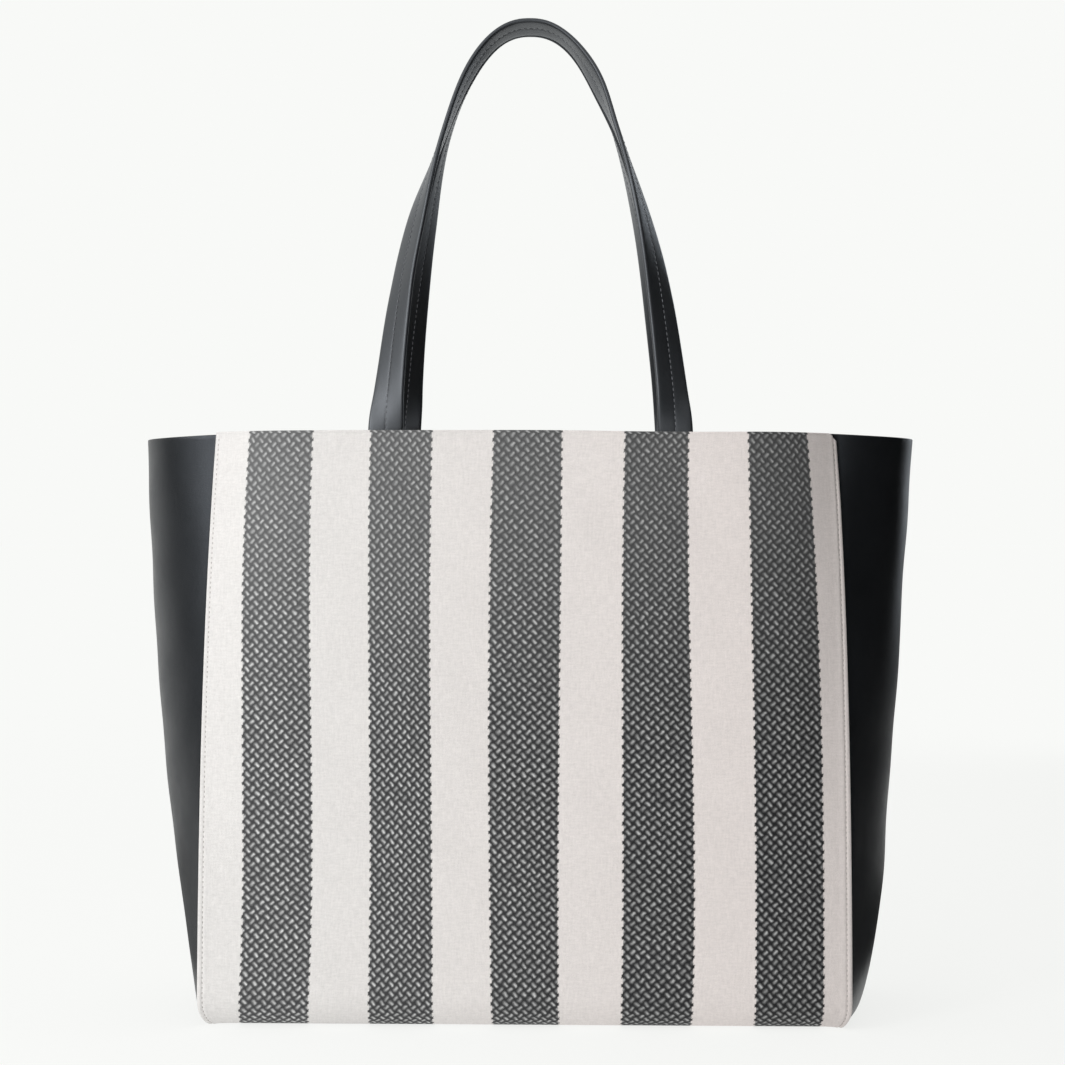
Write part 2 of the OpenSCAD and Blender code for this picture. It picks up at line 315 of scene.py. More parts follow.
def leather_material(name, rough=0.38, dark=0.0045, grain=1.0, coat=0.0):
    g = Graph(name)
    place = g.place()
    pores = g.new("ShaderNodeTexVoronoi", feature="DISTANCE_TO_EDGE")
    g.tree.links.new(place, pores.inputs["Vector"])
    pores.inputs["Scale"].default_value = 1150.0
    pebble = g.step(pores.outputs["Distance"], 0.0, 0.22)
    fine = g.noise(place, 2600.0, 2.0, 0.6)
    soft = g.noise(place, 90.0, 3.0, 0.55)
    broad = g.noise(place, 16.0, 2.0, 0.5)
    height = g.mul(pebble, 0.028 * grain)
    height = g.madd(fine, 0.030 * grain, height)
    height = g.madd(soft, 0.10 * grain, height)
    shine = g.madd(soft, 0.10, rough - 0.10)
    shine = g.madd(broad, 0.10, shine)
    colour = g.mix(broad, rgb(dark, dark * 1.08, dark * 1.25), rgb(dark * 1.5, dark * 1.6, dark * 1.9))
    colour = g.tint(colour, g.madd(pebble, 0.25, 0.80))
    return g.finish(colour, shine, g.bump(height, 0.001), Specular_IOR_Level=0.5,
                    Specular_Tint=rgb(0.83, 0.90, 1.0), Coat_Weight=coat, Coat_Roughness=0.45,
                    Coat_Tint=rgb(0.92, 0.96, 1.0))


def thread_material(name, colour):
    g = Graph(name)
    place = g.place()
    ply = g.noise(place, 2200.0, 2.0, 0.6)
    return g.finish(g.tint(colour, g.madd(ply, 0.5, 0.72)), 0.7,
                    g.bump(ply, 0.00012), Sheen_Weight=0.15)


def lining_material(name, colour):
    g = Graph(name)
    x, y = g.cloth_mm()
    wx = g.math("SINE", g.mul(x, pi / 0.42))
    wy = g.math("SINE", g.mul(y, pi / 0.42))
    weave = g.mul(wx, wy)
    slub = g.noise(g.vector(g.mul(x, 0.05), g.mul(y, 0.9)), 1.0, 3.0, 0.6)
    warp = g.noise(g.vector(g.mul(x, 0.9), g.mul(y, 0.05), 5.0), 1.0, 3.0, 0.6)
    shade = g.madd(slub, 0.20, 0.78)
    shade = g.madd(warp, 0.20, shade)
    shade = g.madd(weave, 0.06, shade)
    relief = g.madd(weave, 0.06, g.mul(slub, 0.08))
    return g.finish(g.tint(colour, shade), 0.92, g.bump(relief, 0.001), Sheen_Weight=0.1,
                    Specular_IOR_Level=0.2)


def board_material(name):
    g = Graph(name)
    place = g.place()
    fibre = g.noise(place, 900.0, 4.0, 0.7)
    return g.finish(g.mix(fibre, rgb(0.30, 0.22, 0.14), rgb(0.52, 0.42, 0.30)), 0.9, g.bump(fibre, 0.0002))


CANVAS = canvas_material("striped_canvas")
LEATHER = leather_material("body_leather", dark=0.0036)
STRAP = leather_material("strap_leather", rough=0.44, dark=0.0055, grain=0.8, coat=0.7)
CREAM_THREAD = thread_material("cream_thread", rgb(0.78, 0.74, 0.67))
DARK_THREAD = thread_material("dark_thread", rgb(0.060, 0.061, 0.065))
STRAP_THREAD = thread_material("strap_thread", rgb(0.13, 0.135, 0.15))
# painted shade: the cream topstitching down the side seams is coloured grey-brown, so its row reads as the shaded
# groove and stitch holes
SHADED_SEAM_THREAD = thread_material("seam_thread", rgb(0.42, 0.40, 0.38))
LINING = lining_material("lining_cotton", rgb(0.55, 0.51, 0.44))
BOARD = board_material("base_board")


# -------- the body's surfaces
def smooth(t):
    """0 below 0, 1 above 1, and a smooth rise between."""
    t = np.clip(t, 0.0, 1.0)
    return t * t * (3 - 2 * t)


def ripple(a, b, seed, length, count=7):
    """A smooth, seeded undulation between about -1 and 1 over coordinates a and b, in metres."""
    rng = np.random.default_rng(seed)
    total = np.zeros(np.broadcast(a, b).shape)
    for _ in range(count):
        angle, phase = rng.uniform(0, pi), rng.uniform(0, 2 * pi)
        k = 2 * pi / (length * rng.uniform(0.7, 1.6))
        total = total + np.sin(k * (a * cos(angle) + b * sin(angle)) + phase)
    return total / sqrt(count * 2)


def summed(steps):
    """The distance run at each point of a line, from the steps between them."""
    return np.concatenate([[0], np.cumsum(steps)])


def level(z):
    """Height as a part of the rim's."""
    return np.clip(z, 0, None) / RIM


def seam_x(z):
    """Distance of a side seam from the middle."""
    return HALF_W - RIM_DRAW * level(z) ** 3


def wall_y(z):
    """Distance of the front face from the middle."""
    return HALF_D - LEAN * level(z)


def set_back(z):
    """How far a side seam sits behind the front face."""
    return CORNER_BACK * level(z) ** 1.35


def run_profile(p):
    """Height and inset of the canvas at a run p down from the rim."""
    turn = np.clip((p - WALL) / ROLL, 0, pi / 2)
    z = np.where(p <= WALL, RIM - p, ROLL * (1 - np.sin(turn)))
    inset = np.where(p <= WALL, 0.0, ROLL * (1 - np.cos(turn)) + np.clip(p - WALL - ROUND, 0, None))
    return z, inset


def panel_points(a, p, seed=0):
    """Outer surface of the front panel; a is the distance across the cloth, p the run down it."""
    a, p = np.broadcast_arrays(np.asarray(a, float), np.asarray(p, float))
    out = np.zeros(a.shape + (3,))
    for r in range(a.shape[0]):
        z, inset = run_profile(p[r, 0])
        xs = np.linspace(0, seam_x(z) + 0.012, 500)
        bend = (np.clip(xs - seam_x(z) + CORNER_RUN, 0, None) / CORNER_RUN) ** 2 * set_back(z)
        arc = summed(np.hypot(np.diff(xs), np.diff(bend)))
        length = np.interp(seam_x(z), xs, arc)
        at = np.abs(a[r]) * length / HALF_W
        out[r, :, 0] = np.sign(a[r]) * np.interp(at, arc, xs)
        out[r, :, 1] = -(wall_y(z) - inset - np.interp(at, arc, bend))
        out[r, :, 2] = z
    z = out[..., 2]
    near = smooth((np.abs(a) - HALF_W + CORNER_ROUND * 2) / (CORNER_ROUND * 2))
    out[..., 0] -= np.sign(a) * near * CORNER_DRAW * np.clip(1 - z / CORNER_ROUND, 0, 1) ** 2
    if seed:
        free = smooth((z - 0.01) / 0.12) * (1 - smooth((np.abs(a) - HALF_W + 0.035) / 0.03))
        out[..., 1] += 0.0010 * ripple(a, z, seed, 0.16) * free
        out[..., 1] += 0.00035 * ripple(a, z, seed + 1, 0.045) * free
        out[..., 2] += 0.0005 * ripple(a, 0 * a, seed + 2, 0.12) * level(z) ** 6
    return out


def normals(points):
    """Unit normals of a grid of points, outwards."""
    across = np.gradient(points, axis=1)
    down = np.gradient(points, axis=0)
    n = np.cross(down, across)
    return n / np.maximum(np.linalg.norm(n, axis=2, keepdims=True), 1e-12)


def stations(length, fine, coarse, fine_to):
    """Distances from both ends of a width, close together near each end."""
    edge = np.array(fine)
    inner = np.linspace(fine_to, length / 2, max(2, int(round((length / 2 - fine_to) / coarse))))
    half = np.concatenate([edge, inner])
    left = half - length / 2
    return np.concatenate([left[:-1], [0.0], -left[:-1][::-1]])


# -------- mesh making
def add_mesh(name, verts, faces, uvs=None, material=None):
    """A smooth-shaded object, with the cloth's coordinates in metres as its UV map."""
    mesh = bpy.data.meshes.new(name)
    mesh.from_pydata([tuple(v) for v in verts], [], faces)
    mesh.update()
    if uvs is not None:
        layer = mesh.uv_layers.new(name="cloth")
        index = np.zeros(len(mesh.loops), int)
        mesh.loops.foreach_get("vertex_index", index)
        layer.data.foreach_set("uv", np.asarray(uvs, np.float32)[index].ravel())
    mesh.polygons.foreach_set("use_smooth", [True] * len(mesh.polygons))
    obj = bpy.data.objects.new(name, mesh)
    bpy.context.scene.collection.objects.link(obj)
    if material is not None:
        mesh.materials.append(material)
    return obj


def ring_mesh(name, rings, ring_uvs, material, flip=False):
    """A closed solid from rings of equal length; its ends are closed by bands across each ring."""
    rings = np.asarray(rings)
    r, n = rings.shape[:2]
    faces = []
    for i in range(r - 1):
        for k in range(n):
            a, b = i * n + k, i * n + (k + 1) % n
            faces.append((a, b, b + n, a + n))
    half = n // 2
    for base, turn in ((0, True), ((r - 1) * n, False)):
        for k in range(half - 1):
            quad = (base + k, base + k + 1, base + n - 2 - k, base + n - 1 - k)
            faces.append(quad[::-1] if turn else quad)
    if flip:
        faces = [f[::-1] for f in faces]
    uvs = np.asarray(ring_uvs).reshape(-1, 2)
    return add_mesh(name, rings.reshape(-1, 3), faces, uvs, material)


EDGE_STEPS = 4  # points round each side edge


def closed_sheet(name, P, M, T, U, V, material, round_first=False, round_last=False, flip=False):
    """A sheet with thickness T behind its outer points P, along the unit vectors M, with rounded side edges."""
    T = np.broadcast_to(T, P.shape[:2]).copy()

    def extend(P, M, T, U, V, last):
        k, j = (-1, -2) if last else (0, 1)
        d = P[k] - P[j]
        d /= np.maximum(np.linalg.norm(d, axis=1, keepdims=True), 1e-9)
        rows = []
        for angle in (30, 58, 80):
            s, c = sin(radians(angle)), cos(radians(angle))
            half = T[k][:, None] / 2
            rows.append((P[k] + d * half * s - M[k] * half * (1 - c), M[k], T[k] * c, U[k],
                         V[k] + (1 if last else -1) * T[k] / 2 * s))
        if not last:
            rows = rows[::-1]
        parts = []
        for i, whole in enumerate((P, M, T, U, V)):
            new = np.stack([row[i] for row in rows])
            parts.append(np.concatenate([whole, new] if last else [new, whole]))
        return parts

    if round_first:
        P, M, T, U, V = extend(P, M, T, U, V, False)
    if round_last:
        P, M, T, U, V = extend(P, M, T, U, V, True)
    rings, uvs = [], []
    for r in range(len(P)):
        outer, inner = P[r], P[r] - M[r] * T[r][:, None]
        arcs = []
        for end, before in ((-1, -2), (0, 1)):
            b = outer[end] - outer[before]
            b /= max(np.linalg.norm(b), 1e-9)
            half = T[r][end] / 2
            middle = outer[end] - M[r][end] * half
            turns = [pi * (i + 1) / (EDGE_STEPS + 1) for i in range(EDGE_STEPS)]
            arcs.append([middle + b * half * sin(t) + M[r][end] * half * cos(t) for t in turns])
        rings.append(np.concatenate([outer, arcs[0], inner[::-1], arcs[1][::-1]]))
        uv = np.stack([U[r], V[r]], 1)
        at_last, at_first = (np.repeat(uv[[end]], EDGE_STEPS, 0) for end in (-1, 0))
        uvs.append(np.concatenate([uv, at_last, uv[::-1], at_first]))
    # turned so that the closing bands pair outer points with inner ones
    rings = np.roll(np.asarray(rings), EDGE_STEPS // 2, axis=1)
    uvs = np.roll(np.asarray(uvs), EDGE_STEPS // 2, axis=1)
    return ring_mesh(name, rings, uvs, material, not flip)


def stitch_row(name, points, tangents, ups, material, pitch=0.0033, length=0.0026, radius=0.00028, rise=0.00025):
    """A row of short thread stitches along a path of points."""
    points, tangents, ups = (np.asarray(v, float) for v in (points, tangents, ups))
    step = np.linalg.norm(np.diff(points, axis=0), axis=1)
    run = summed(step)
    count = max(1, int(run[-1] / pitch))
    places = (np.arange(count) + 0.5) * run[-1] / count
    verts, faces = [], []
    along = (-0.5, -0.34, 0.0, 0.34, 0.5)
    height = (-1.3, 0.2, 1.0, 0.2, -1.3)
    thick = (0.55, 0.95, 1.0, 0.95, 0.55)
    sides = 6
    for s in places:
        c, t, u = (np.array([np.interp(s, run, v[:, i]) for i in range(3)]) for v in (points, tangents, ups))
        t /= np.linalg.norm(t)
        u = u - t * (u @ t)
        u /= np.linalg.norm(u)
        w = np.cross(t, u)
        first = len(verts)
        for a, h, k in zip(along, height, thick):
            for i in range(sides):
                turn = 2 * pi * i / sides
                verts.append(c + t * a * length + u * (h * rise + radius * k * sin(turn))
                             + w * radius * k * cos(turn))
        for ring in range(len(along) - 1):
            for i in range(sides):
                p = first + ring * sides
                faces.append((p + i, p + sides + i, p + sides + (i + 1) % sides, p + (i + 1) % sides))
        faces.append(tuple(first + i for i in range(sides)))
        faces.append(tuple(first + (len(along) - 1) * sides + i for i in range(sides))[::-1])
    return add_mesh(name, verts, faces, None, material)


def joined(name, objects):
    """One object from several."""
    bpy.ops.object.select_all(action="DESELECT")
    for o in objects:
        o.select_set(True)
    bpy.context.view_layer.objects.active = objects[0]
    bpy.ops.object.join()
    objects[0].name = name
    objects[0].data.name = name
    return objects[0]


def to_back(*objects):
    """Turns pieces made at the front or right half round, to the back or left."""
    for obj in objects:
        co = np.zeros(len(obj.data.vertices) * 3)
        obj.data.vertices.foreach_get("co", co)
        co = co.reshape(-1, 3)
        co[:, :2] *= -1
        obj.data.vertices.foreach_set("co", co.ravel())
        obj.data.update()


# -------- canvas panels
SEAM_STITCH = 0.0028  # distance of the topstitching from the canvas edge
EDGE_LIST = np.array([0.0, 0.3, 0.7, 1.2, 1.7, 2.1, 2.4, 2.6, 2.8, 3.0, 3.3, 3.9, 5.0, 6.5, 8.0, 9.5, 11.0, 13.0,
                      15.5]) / 1000


def seam_relief(e):
    """Height of the canvas above its plain surface at a distance e from its turned edge."""
    mm = np.asarray(e) * 1000
    ridge = 0.62 * (1 - np.exp(-mm / 0.35)) * (1 - smooth((mm - 2.4) / 5.5)) + 0.10
    groove = -0.62 * np.exp(-((mm - 2.8) / 0.60) ** 2)
    return (ridge + groove) * (1 - smooth((mm - 9.0) / 4.0)) / 1000


def tab_print(a, p):
    """A strap's sewn end shows faintly through the canvas."""
    across = smooth((STRAP_HALF + 0.0012 - np.abs(np.abs(a) - SPACING / 2)) / 0.0022)
    return 0.00032 * across * smooth((TAB + 0.001 - p) / 0.004)


def rim_crease(a, p):
    """A small slanting crease in the hem, left of the middle."""
    off = (a + 0.118) * 0.62 + (p - 0.004) * 0.78
    along = (a + 0.118) * 0.78 - (p - 0.004) * 0.62
    return -0.00045 * np.exp(-(off / 0.0011) ** 2) * np.exp(-(along / 0.0055) ** 4)


STRIPE_LEVELS = (0.0, 0.27, 0.60, 1.0)  # parts of the way from the rim to the foot


def curve_through(levels, rows, at):
    """The cubic through four rows of values, one row for each level."""
    return np.array([np.polyval(np.polyfit(levels, column, 3), at) for column in zip(*rows)])


def canvas_panel(name, seed, sway, width, tucked=False):
    """A canvas panel with its hem folded in at the rim; a tucked one has the front's creased and uneven rim."""
    a = stations(2 * HALF_W, EDGE_LIST, 0.0048, 0.019)
    runs = np.concatenate([
        np.linspace(0.0016, 0.012, 12), np.linspace(0.0145, 0.070, 22), np.linspace(0.0748, WALL - 0.004, 52),
        np.linspace(WALL, WALL + ROUND, 12), WALL + ROUND + np.linspace(0.002, FLANGE, 4)])
    A, R = np.meshgrid(a, runs)
    P = panel_points(A, R, seed)
    M = normals(P)
    e = HALF_W - np.abs(A)
    pucker = 0.00010 * np.sin(2 * pi * R / 0.0066) * np.exp(-((e - 0.0045) / 0.003) ** 2)
    P = P + M * (seam_relief(e) + pucker + tab_print(A, R))[..., None]
    if tucked:
        P = P + M * rim_crease(A, R)[..., None]
        P[..., 2] += 0.0012 * (1 - smooth((A + 0.02) / 0.20)) * level(P[..., 2]) ** 6
        P[..., 2] -= 0.0042 * smooth((0.0058 - (HALF_W - A)) / 0.0058) * (1 - smooth(R / 0.040))
    lap = smooth((R - WALL - ROUND + 0.004) / 0.010) * 0.0013
    P[..., 2] = np.maximum(P[..., 2] + lap, 0.0)
    # the rim: round a small fold and down inside
    r = 0.00095
    top, out = P[0], M[0]
    up = np.zeros_like(out)
    up[:, 2] = 1.0
    drop = runs[0] - r
    fold_P, fold_M, fold_V = [], [], []
    for deep in (0.010, 0.006, 0.003):
        q = top - out * 2 * r
        q = q + up * (drop - deep)
        fold_P.append(q)
        fold_M.append(-out)
        fold_V.append(-deep - 0.003)
    for angle in (180, 150, 120, 90, 60, 30, 0):
        c, s = cos(radians(angle)), sin(radians(angle))
        m = out * c + up * s
        fold_P.append(top - out * r + m * r + up * drop)
        fold_M.append(m)
        fold_V.append(-r * radians(angle))
    P = np.concatenate([np.stack(fold_P), P])
    M = np.concatenate([np.stack(fold_M), M])
    rows_v = np.concatenate([fold_V, runs])
    # the stripes wander and swell a little, so the cloth's coordinates do too
    middle = np.arange(-2, 3) * STRIPE_PITCH
    nominal = np.stack([middle - STRIPE_HALF, middle + STRIPE_HALF], 1).ravel() / 1000
    U = np.zeros(P.shape[:2])
    for i, v in enumerate(rows_v):
        k = min(max(v / (WALL + ROUND), 0), 1)
        centre = middle + curve_through(STRIPE_LEVELS, sway, k)
        half = curve_through(STRIPE_LEVELS, width, k) / 2
        real = np.stack([centre - half, centre + half], 1).ravel() / 1000
        U[i] = np.interp(a, real, nominal)
        U[i] += np.minimum(a - real[0], 0) + np.maximum(a - real[-1], 0)
    V = np.repeat(rows_v[:, None], P.shape[1], 1)
    obj = closed_sheet(name, P, M, CANVAS_T * 0.85, U, V, CANVAS)
    return obj, (P, M, a)


def seam_threads(name, grid, first_row):
    """The topstitching down both side edges of a canvas panel, from its first unfolded row."""
    P, M, a = grid
    found = []
    for side in (-1, 1):
        j = int(np.argmin(np.abs(a - side * (HALF_W - SEAM_STITCH))))
        path = P[first_row:, j]
        t = np.gradient(path, axis=0)
        found.append(stitch_row(f"{name}_{side}", path, t, M[first_row:, j], SHADED_SEAM_THREAD, pitch=0.0029,
                                length=0.0014, radius=0.00026, rise=0.00012))
    return joined(name, found)


# for each stripe, left to right, in millimetres: how far it lies right of its even place, and its width
FRONT_SWAY = ((6.0, 3.2, 2.5, 3.2, 0.2), (3.9, 2.1, 0.8, 2.3, 3.0), (5.1, 2.8, 0.1, 3.8, 5.3),
              (1.2, 2.1, 1.1, 2.4, 5.3))
FRONT_WIDTH = ((40.5, 36.0, 40.2, 37.1, 37.3), (40.9, 35.6, 41.4, 38.6, 39.6), (40.9, 35.6, 40.6, 41.1, 39.7),
               (40.5, 38.1, 38.9, 40.8, 40.0))
BACK_SWAY = ((1.0, 2.0, 1.5, 0.5, 2.5), (2.4, 1.0, 2.2, 1.5, 1.8), (0.6, 2.2, 0.4, 2.6, 3.2),
             (2.0, 1.0, 0.5, 1.5, 0.5))
BACK_WIDTH = ((38.4, 39.2, 37.8, 39.0, 40.1), (39.6, 38.2, 39.5, 38.4, 39.2), (40.2, 38.0, 40.4, 39.6, 38.4),
              (39.0, 39.6, 39.2, 40.3, 39.4))
front_canvas, front_grid = canvas_panel("front_canvas_panel", 11, FRONT_SWAY, FRONT_WIDTH, tucked=True)
back_canvas, back_grid = canvas_panel("back_canvas_panel", 23, BACK_SWAY, BACK_WIDTH)
front_threads = seam_threads("front_seam_stitches", front_grid, 12)
back_threads = seam_threads("back_seam_stitches", back_grid, 12)
to_back(back_canvas, back_threads)


# -------- gussets
LAP_GAP = CANVAS_T + 0.0004  # the gusset's outer face lies this far behind the canvas face
LAP = 0.008  # width of the gusset's edge behind the canvas, for each step of w past 1


def lap_points(a, p):
    """Points LAP_GAP behind the front panel's face."""
    grid_a = np.stack([a - 0.0005, a, a + 0.0005], 1)
    mid = panel_points(grid_a, np.repeat(p[:, None], 3, 1))
    low = panel_points(a[:, None], (p + 0.0005)[:, None])[:, 0]
    high = panel_points(a[:, None], (p - 0.0005)[:, None])[:, 0]
    n = np.cross(low - high, mid[:, 2] - mid[:, 0])
    n /= np.linalg.norm(n, axis=1, keepdims=True)
    return mid[:, 1] - n * LAP_GAP


GUSSET_FOOT = 0.0017  # height at which a gusset's swelling starts
EASE_LEVELS = (0.0, 0.17, 0.35, 0.61, 0.84, 1.0)
# millimetres that the middle of a gusset stands out, level by level
RIGHT_EASE = (2.4, 0.6, -1.8, -4.8, -2.6, 0.0)
LEFT_EASE = (0.3, -3.0, -4.2, -2.4, -1.2, 0.0)


def gusset_points(w, p, ease, seed=0):
    """The right gusset's outer surface at runs p: w is -1 to 1 round the arc, and past 1 behind the canvas."""
    w, p = np.asarray(w, float), np.asarray(p, float)
    start = lap_points(np.full(len(p), HALF_W), p)
    rise = np.sqrt(np.maximum(0.0001, (start[:, 2] - GUSSET_FOOT) / (RIM - GUSSET_FOOT)))
    swell = BULGE * rise + seam_x(start[:, 2]) - start[:, 0]
    swell = swell + np.polyval(np.polyfit(EASE_LEVELS, ease, 4), level(start[:, 2])) / 1000
    half = np.abs(start[:, 1])
    radius = (half * half + swell * swell) / (2 * swell)
    out = np.zeros((len(p), len(w), 3))
    for j, v in enumerate(w):
        if abs(v) <= 1:
            turn = 2 * np.arctan(swell / half) * v
            dip = DIP * (1 - v * v) * level(start[:, 2]) ** 4
            out[:, j] = np.stack([start[:, 0] + swell - radius + radius * np.cos(turn), radius * np.sin(turn),
                                  start[:, 2] - dip], 1)
        else:
            out[:, j] = lap_points(np.full(len(p), HALF_W - (abs(v) - 1) * LAP), p)
            if v > 0:
                out[:, j, 1] *= -1
    if seed:
        ww, zz = np.meshgrid(np.clip(w, -1, 1), out[:, 0, 2])
        free = (1 - smooth((np.abs(ww) - 0.80) / 0.2)) * smooth((zz - 0.012) / 0.08)
        wave = 0.0013 * ripple(ww * 0.085, zz, seed, 0.17) + 0.0004 * ripple(ww * 0.085, zz, seed + 1, 0.06)
        out += normals(out) * (wave * free)[..., None]
    return out


def arc_coordinates(P):
    """Distance along each row of points, from the row's middle."""
    step = np.linalg.norm(np.diff(P, axis=1), axis=2)
    u = np.concatenate([np.zeros((len(P), 1)), np.cumsum(step, axis=1)], axis=1)
    return u - u[:, -1:] / 2


GUSSET_W = np.concatenate([[-2, -1.6, -1.2], np.linspace(-1, 1, 57), [1.2, 1.6, 2]])
GUSSET_RUNS = np.concatenate([np.linspace(0.0007, 0.010, 6), np.linspace(0.014, WALL - 0.006, 66),
                              np.linspace(WALL, WALL + ROUND * 0.985, 16)])


def gusset(name, ease, seed):
    """A leather gusset on the right."""
    P = gusset_points(GUSSET_W, GUSSET_RUNS, ease, seed)
    M = normals(P)
    V = np.repeat(GUSSET_RUNS[:, None], P.shape[1], 1)
    return closed_sheet(name, P, M, LEATHER_T, arc_coordinates(P), V, LEATHER, round_first=True)


right_gusset = gusset("right_gusset_leather", RIGHT_EASE, 31)
left_gusset = gusset("left_gusset_leather", LEFT_EASE, 47)
to_back(left_gusset)


# -------- inside the rim
def inner_band(name, top, bottom, depth, thick, reach, material, rows, seed=0, fold_size=0.0, columns=90,
               ease=None):
    """A layer of facing or lining inside a front panel, or inside the right gusset, from run top to run bottom.

    Its reach is half its width across a panel, or how far w goes round a gusset, whose ease is given."""
    runs = np.linspace(top, bottom, rows)
    if ease is None:
        U, _ = np.meshgrid(np.linspace(-reach, reach, columns), runs)
        base = panel_points(U, np.repeat(runs[:, None], columns, 1))
        edge = smooth((reach - np.abs(U)) / 0.025)
    else:
        lap = np.linspace(1, reach, 5)[1:]
        w = np.concatenate([-lap[::-1], np.linspace(-1, 1, columns), lap])
        base = gusset_points(w, runs, ease)
        U = arc_coordinates(base)
        edge = smooth((1 - np.abs(w)) / 0.25)[None, :]
    m = normals(base)
    V = np.repeat(runs[:, None], base.shape[1], 1)
    off = np.full(V.shape, depth)
    if fold_size:
        span = (V - top) / (bottom - top)
        hang = smooth(span / 0.12) * (1 - smooth((span - 0.80) / 0.2)) * edge
        wave = 0.5 + 0.5 * ripple(U, V * 0.30 + 0.10 * U, seed, 0.055)
        slack = 0.5 + 0.5 * ripple(U, V, seed + 5, 0.13)
        off = off + fold_size * hang * np.clip(wave * slack, 0, 1.4)
    P = base - m * off[..., None]
    return closed_sheet(name, P, m, thick, U, V, material, round_first=True, round_last=True), P, m


LAY = 0.0019  # depth of the facing's outer face behind the canvas
FACING_REACH = HALF_W - 0.0098  # half the width of a panel's facing
RIM_REACH = 2.35  # how far w goes round a gusset for its facing
RIM_LAY = LEATHER_T + 0.0003


def panel_facing(name):
    """A leather facing inside a panel's rim."""
    return inner_band(name, 0.0030, FACING_H, LAY, FACING_T, FACING_REACH, LEATHER, 22)


def gusset_facing(name, ease):
    """A leather facing inside a gusset's rim."""
    return inner_band(name, 0.0008, FACING_H, RIM_LAY, FACING_T, RIM_REACH, LEATHER, 22, columns=46, ease=ease)


front_facing, *front_band = panel_facing("front_rim_facing")
back_facing, *back_band = panel_facing("back_rim_facing")
right_rim, *right_band = gusset_facing("right_gusset_facing", RIGHT_EASE)
left_rim, *left_band = gusset_facing("left_gusset_facing", LEFT_EASE)
to_back(back_facing, left_rim)

LINING_TOP = FACING_H - 0.006  # tucked behind the facing
LINING_FOOT = WALL + ROUND * 0.95  # almost round the roll, where the base lining lies over it
LINING_LAY = 0.0034
LINING_REACH = HALF_W - 0.0115  # half the width of a panel's lining
SIDE_REACH = 2.65  # how far w goes round a gusset for its lining
lining_set = {}
SIDE_MAKING = (("front", 3, None), ("back", 5, None), ("right", 7, RIGHT_EASE), ("left", 9, LEFT_EASE))
for side, seed, ease in SIDE_MAKING:
    piece, _, _ = inner_band(f"lining_{side}_cloth", LINING_TOP, LINING_FOOT, LINING_LAY, LINING_T,
                             SIDE_REACH if ease else LINING_REACH, LINING, 70, seed,
                             0.0030 if side == "back" else 0.0055, 60 if ease else 130, ease)
    if side in ("back", "left"):
        to_back(piece)
    lining_set[side] = piece


def foot_reach(ys, ease, inset, run):
    """How far a gusset stands out at a run near its foot, less an inset, at each of the depths ys."""
    foot = gusset_points(np.linspace(-1, 1, 61), np.array([run]), ease)[0]
    return np.interp(ys, foot[:, 1], foot[:, 0]) - inset


def flat_pad(name, lo, hi, z0, z1, material, inset, run, seed=0, sag=0.0, cells=(60, 24)):
    """A thin flat panel with rounded edges, from z0 to z1, that ends an inset short of both gussets."""
    ys = np.linspace(lo[1], hi[1], cells[1])
    left, right = -foot_reach(-ys, LEFT_EASE, inset, run), foot_reach(ys, RIGHT_EASE, inset, run)
    share = np.linspace(0, 1, cells[0])[None, :]
    X = left[:, None] * (1 - share) + right[:, None] * share
    Y = np.repeat(ys[:, None], cells[0], 1)
    P = np.stack([X, Y, np.full(X.shape, z1)], 2)
    if sag:
        P[..., 2] += sag * (0.5 + 0.5 * ripple(X, Y, seed, 0.08))
    M = np.zeros_like(P)
    M[..., 2] = 1.0
    return closed_sheet(name, P, M, P[..., 2] - z0, X, Y, material, round_first=True, round_last=True, flip=True)


lb_lo, lb_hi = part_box("lining_base")
LINING_LAP = 0.0039  # how far the base lining lies over the feet of the front and back linings
floor_lo, floor_hi = (lb_lo[0], lb_lo[1] - LINING_LAP), (lb_hi[0], lb_hi[1] + LINING_LAP)
lining_floor = flat_pad("lining_base_cloth", floor_lo, floor_hi, lb_lo[2] + 0.0001, lb_hi[2], LINING,
                        LEATHER_T + 0.0024, WALL + ROUND * 0.6, 13, 0.0008, (70, 30))
bp_lo, bp_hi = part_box("base_panel")
base_leather = flat_pad("base_leather", (bp_lo[0], bp_lo[1] - 0.003), (bp_hi[0], bp_hi[1] + 0.003), 0.0, 0.0011,
                        LEATHER, LEATHER_T / 2, WALL + ROUND * 0.985)

# stitches along both long edges of the base panel
foot_threads = []
for side in (-1, 1):
    xs = np.linspace(bp_lo[0] + 0.008, bp_hi[0] - 0.008, 40)
    path = np.stack([xs, np.full(40, side * (bp_hi[1] + 0.0002)), np.full(40, 0.00035)], 1)
    along, under = np.tile([1.0, 0, 0], (40, 1)), np.tile([0, 0, -1.0], (40, 1))
    foot_threads.append(stitch_row(f"foot_{side}", path, along, under, DARK_THREAD, pitch=0.0035,
                                   length=0.0027, radius=0.00022, rise=0.0))
base_threads = joined("base_seam_stitches", foot_threads)


def band_threads(name, P, M):
    """Stitches along a facing's lower edge, on its inner face, one row up from the end."""
    path = P[-2] - M[-2] * FACING_T
    return stitch_row(name, path, np.gradient(path, axis=0), -M[-2], DARK_THREAD, pitch=0.0035, length=0.0027,
                      radius=0.00024, rise=0.0002)


facing_threads = [band_threads("front_facing_stitches", *front_band),
                  band_threads("back_facing_stitches", *back_band),
                  band_threads("right_rim_stitches", *right_band),
                  band_threads("left_rim_stitches", *left_band)]
to_back(facing_threads[1], facing_threads[3])
facing_threads = joined("facing_stitches", facing_threads)

# -------- pocket
pk_lo, pk_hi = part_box("inner_pocket")


